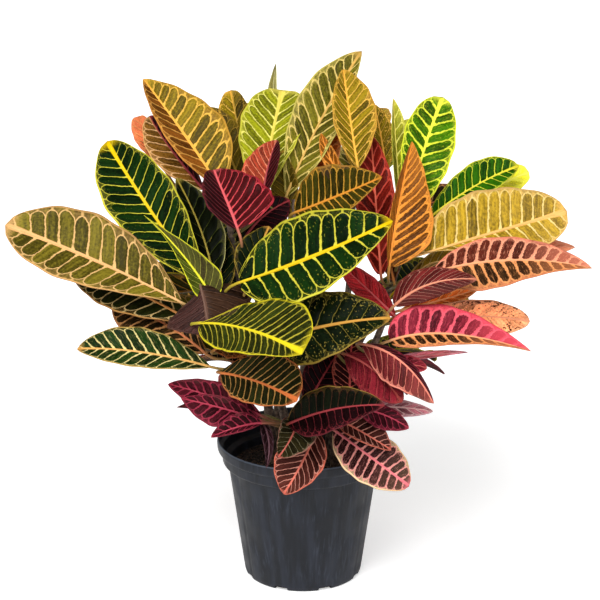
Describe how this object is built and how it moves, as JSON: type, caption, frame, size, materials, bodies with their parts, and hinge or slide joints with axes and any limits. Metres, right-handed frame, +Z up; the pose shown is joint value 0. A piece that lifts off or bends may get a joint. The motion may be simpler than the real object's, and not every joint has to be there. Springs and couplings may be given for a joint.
{
  "type": "potted croton",
  "caption": "Bushy croton house plant with broad, brightly veined, multicoloured leaves on upright stems in a round tapered plastic nursery pot of soil.",
  "frame": {"origin": "centre of the pot's flat underside, on the surface that it stands on", "axes": "+Z up along the pot's axis, +X to the viewer's right, the pictured side faces -Y"},
  "size_m": [0.8223, 0.679, 0.736],
  "materials": {
    "pot_plastic": "satin blue-black injection-moulded plastic",
    "potting_soil": "dark, coarse peat and bark mix",
    "leaves_left": "glossy deep green leaves with yellow veins",
    "leaves_top_left": "golden and crimson leaves",
    "leaves_top": "lime and pale gold leaves",
    "leaves_right": "orange and golden leaves",
    "leaves_lower_right": "pink and peach leaves with dark cells",
    "leaves_front": "dark maroon leaves with pink veins",
    "leaves_back_left": "green leaves with yellow veins",
    "leaves_back_right": "bronze and orange leaves"
  },
  "bodies": {
    "root": {"pot": "pot_plastic", "soil": "potting_soil", "leafy_stem_left": "leaves_left", "leafy_stem_top_left": "leaves_top_left", "leafy_stem_top": "leaves_top", "leafy_stem_right": "leaves_right", "leafy_stem_lower_right": "leaves_lower_right", "leafy_stem_front": "leaves_front", "leafy_stem_back_left": "leaves_back_left", "leafy_stem_back_right": "leaves_back_right"}
  },
  "joints": []
}
